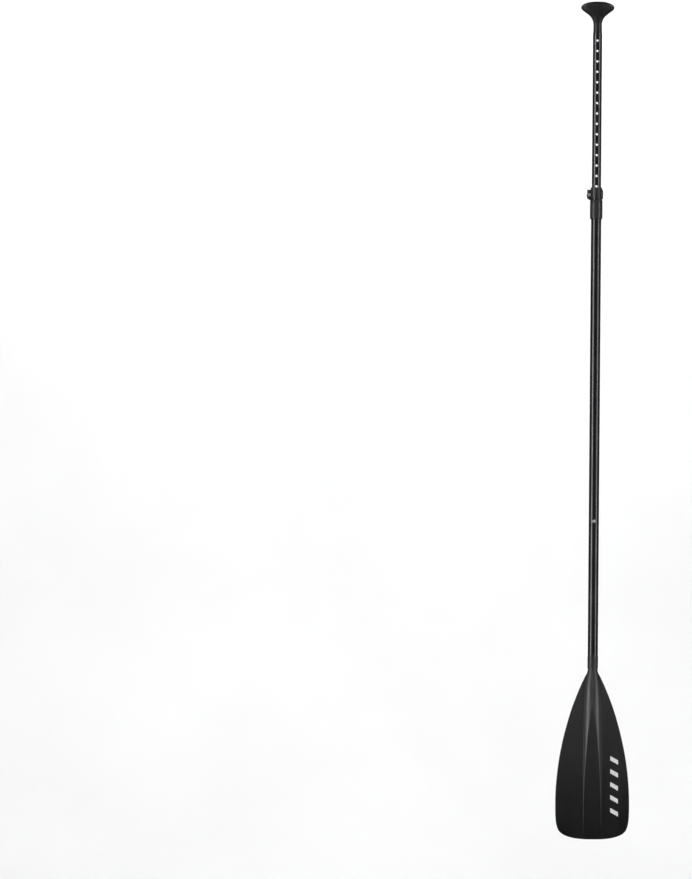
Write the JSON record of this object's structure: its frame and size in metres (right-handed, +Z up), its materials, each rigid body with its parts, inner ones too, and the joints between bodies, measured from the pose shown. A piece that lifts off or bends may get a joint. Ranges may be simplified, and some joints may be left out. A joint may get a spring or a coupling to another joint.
{
  "type": "stand-up paddle",
  "caption": "Adjustable take-apart stand-up paddle: palm grip, telescoping alloy shaft with a lever clamp, snap-button joint and a bent moulded blade with a spine.",
  "frame": {"origin": "on the shaft's axis, in the middle of the bare stretch of the middle tube where the lower hand holds it", "axes": "+Z up the shaft towards the palm grip, -Y towards the spine side of the blade, which the blade bends towards, -X towards the clamp's ears and bolt"},
  "size_m": [0.1894, 0.0899, 2.1459],
  "materials": {
    "grip_plastic": "satin with a fine dotted palm panel",
    "handle_alloy": "anodised dark charcoal, satin, bare edges at the stops",
    "shaft_alloy": "anodised dark charcoal, satin",
    "clamp_plastic": "moulded black nylon, fine grain",
    "bright_steel": "plain stainless",
    "spring_steel": "rolled strip",
    "float_foam": "closed-cell foam",
    "collar_rubber": "matte shrunk sleeve",
    "blade_plastic": "injection moulded, satin gloss"
  },
  "bodies": {
    "middle_section": {"middle_shaft": "shaft_alloy", "clamp_body": "clamp_plastic", "clamp_bolt": "bright_steel", "clamp_washer": "bright_steel", "barrel_nut": "bright_steel", "detent_spring": "spring_steel", "locating_peg": "bright_steel", "ferrule": "handle_alloy", "ferrule_plug": "clamp_plastic", "middle_float_plug": "float_foam", "snap_spring": "spring_steel"},
    "handle_section": {"palm_grip": "grip_plastic", "upper_shaft": "handle_alloy", "upper_shaft_plug": "clamp_plastic"},
    "lever": {"clamp_lever": "clamp_plastic"},
    "button": {"snap_button": "bright_steel"},
    "blade_section": {"blade": "blade_plastic", "neck_collar": "collar_rubber", "lower_shaft": "shaft_alloy", "neck_pin": "bright_steel", "lower_float_plug": "float_foam"}
  },
  "joints": [
    {"name": "handle_slide", "type": "slide", "parent": "middle_section", "child": "handle_section", "axis": [0, 0, 1], "range_m": [-0.4005, 0.235], "deforming": ["locating_peg", "detent_spring"]},
    {"name": "lever_swing", "type": "hinge", "parent": "middle_section", "child": "lever", "pos_m": [-0.0186, 0.0135, 0.425], "axis": [0, 0, 1], "range_deg": [0, 150]},
    {"name": "button_press", "type": "slide", "parent": "middle_section", "child": "button", "axis": [0, 1, 0], "range_m": [0, 0.0045], "stiffness_N_per_m": 800, "springref_m": -0.003, "deforming": ["snap_spring"]},
    {"name": "blade_pull", "type": "slide", "parent": "middle_section", "child": "blade_section", "axis": [0, 0, -1], "range_m": [0, 0.11], "deforming": ["snap_button"]}
  ]
}
